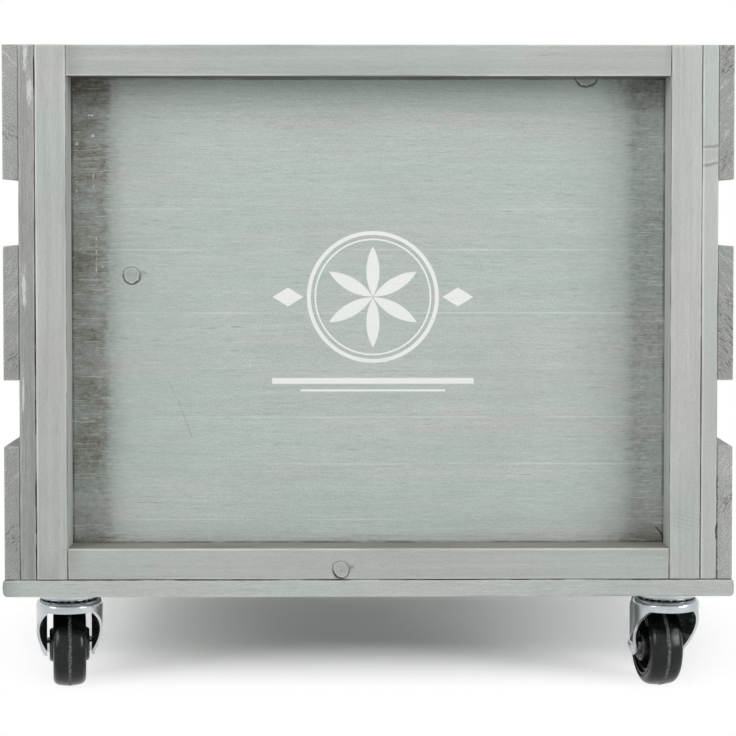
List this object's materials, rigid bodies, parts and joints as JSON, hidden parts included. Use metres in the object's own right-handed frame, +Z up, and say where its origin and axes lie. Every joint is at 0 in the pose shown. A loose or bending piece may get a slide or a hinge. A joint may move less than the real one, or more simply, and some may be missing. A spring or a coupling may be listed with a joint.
{
  "type": "record crate",
  "caption": "Slatted grey-washed wooden crate for records, with framed panel ends, slatted sides and swivel casters under its corners.",
  "frame": {"origin": "on the floor under the middle of the crate", "axes": "+Z up, -Y towards the front panel, +X to the right of someone who looks at the front"},
  "size_m": [0.378, 0.36, 0.343],
  "materials": {
    "base_wood": "grey-green washed pine",
    "post_wood": "grey-green washed pine",
    "slat_wood": "grey-green washed pine",
    "panel_wood": "grey-green washed pine, darker at its edges",
    "frame_wood": "grey-green washed pine",
    "nail_steel": "dull bright steel",
    "ball_steel": "greased polished steel",
    "zinc_steel": "bright zinc plate",
    "hub_plastic": "moulded black nylon",
    "tyre_rubber": "black rubber with a mould seam"
  },
  "bodies": {
    "crate": {"base_board_1": "base_wood", "base_board_2": "base_wood", "base_board_3": "base_wood", "base_board_4": "base_wood", "base_board_5": "base_wood", "post_front_left": "post_wood", "post_front_right": "post_wood", "post_back_left": "post_wood", "post_back_right": "post_wood", "slat_left_bottom": "slat_wood", "slat_left_middle": "slat_wood", "slat_left_top": "slat_wood", "slat_right_bottom": "slat_wood", "slat_right_middle": "slat_wood", "slat_right_top": "slat_wood", "front_panel": "panel_wood", "front_stile_left": "frame_wood", "front_stile_right": "frame_wood", "front_rail_top": "frame_wood", "front_rail_bottom": "frame_wood", "back_panel": "panel_wood", "back_stile_left": "frame_wood", "back_stile_right": "frame_wood", "back_rail_top": "frame_wood", "back_rail_bottom": "frame_wood", "slat_nails": "nail_steel", "corner_nails": "nail_steel", "base_nails": "nail_steel", "panel_pins": "nail_steel", "caster_screws": "zinc_steel", "swivel_balls": "ball_steel", "caster_front_left_plate": "zinc_steel", "caster_front_left_kingpin": "zinc_steel", "caster_front_right_plate": "zinc_steel", "caster_front_right_kingpin": "zinc_steel", "caster_back_left_plate": "zinc_steel", "caster_back_left_kingpin": "zinc_steel", "caster_back_right_plate": "zinc_steel", "caster_back_right_kingpin": "zinc_steel"},
    "fork_front_left": {"caster_front_left_fork": "zinc_steel", "caster_front_left_axle": "zinc_steel", "caster_front_left_bush": "zinc_steel"},
    "wheel_front_left": {"caster_front_left_hub": "hub_plastic", "caster_front_left_tyre": "tyre_rubber"},
    "fork_front_right": {"caster_front_right_fork": "zinc_steel", "caster_front_right_axle": "zinc_steel", "caster_front_right_bush": "zinc_steel"},
    "wheel_front_right": {"caster_front_right_hub": "hub_plastic", "caster_front_right_tyre": "tyre_rubber"},
    "fork_back_left": {"caster_back_left_fork": "zinc_steel", "caster_back_left_axle": "zinc_steel", "caster_back_left_bush": "zinc_steel"},
    "wheel_back_left": {"caster_back_left_hub": "hub_plastic", "caster_back_left_tyre": "tyre_rubber"},
    "fork_back_right": {"caster_back_right_fork": "zinc_steel", "caster_back_right_axle": "zinc_steel", "caster_back_right_bush": "zinc_steel"},
    "wheel_back_right": {"caster_back_right_hub": "hub_plastic", "caster_back_right_tyre": "tyre_rubber"}
  },
  "joints": [
    {"name": "swivel_front_left", "type": "hinge", "parent": "crate", "child": "fork_front_left", "pos_m": [-0.16, -0.14, 0.05165], "axis": [0, 0, 1], "continuous": true},
    {"name": "spin_front_left", "type": "hinge", "parent": "fork_front_left", "child": "wheel_front_left", "pos_m": [-0.1625, -0.1242, 0.0225], "axis": [0.9877, 0.1564, 0], "continuous": true},
    {"name": "swivel_front_right", "type": "hinge", "parent": "crate", "child": "fork_front_right", "pos_m": [0.16, -0.14, 0.05165], "axis": [0, 0, 1], "continuous": true},
    {"name": "spin_front_right", "type": "hinge", "parent": "fork_front_right", "child": "wheel_front_right", "pos_m": [0.1575, -0.1242, 0.0225], "axis": [0.9877, 0.1564, 0], "continuous": true},
    {"name": "swivel_back_left", "type": "hinge", "parent": "crate", "child": "fork_back_left", "pos_m": [-0.16, 0.14, 0.05165], "axis": [0, 0, 1], "continuous": true},
    {"name": "spin_back_left", "type": "hinge", "parent": "fork_back_left", "child": "wheel_back_left", "pos_m": [-0.1636, 0.15559, 0.0225], "axis": [0.9744, 0.225, 0], "continuous": true},
    {"name": "swivel_back_right", "type": "hinge", "parent": "crate", "child": "fork_back_right", "pos_m": [0.16, 0.14, 0.05165], "axis": [0, 0, 1], "continuous": true},
    {"name": "spin_back_right", "type": "hinge", "parent": "fork_back_right", "child": "wheel_back_right", "pos_m": [0.15861, 0.15594, 0.0225], "axis": [0.9962, 0.0872, 0], "continuous": true}
  ]
}
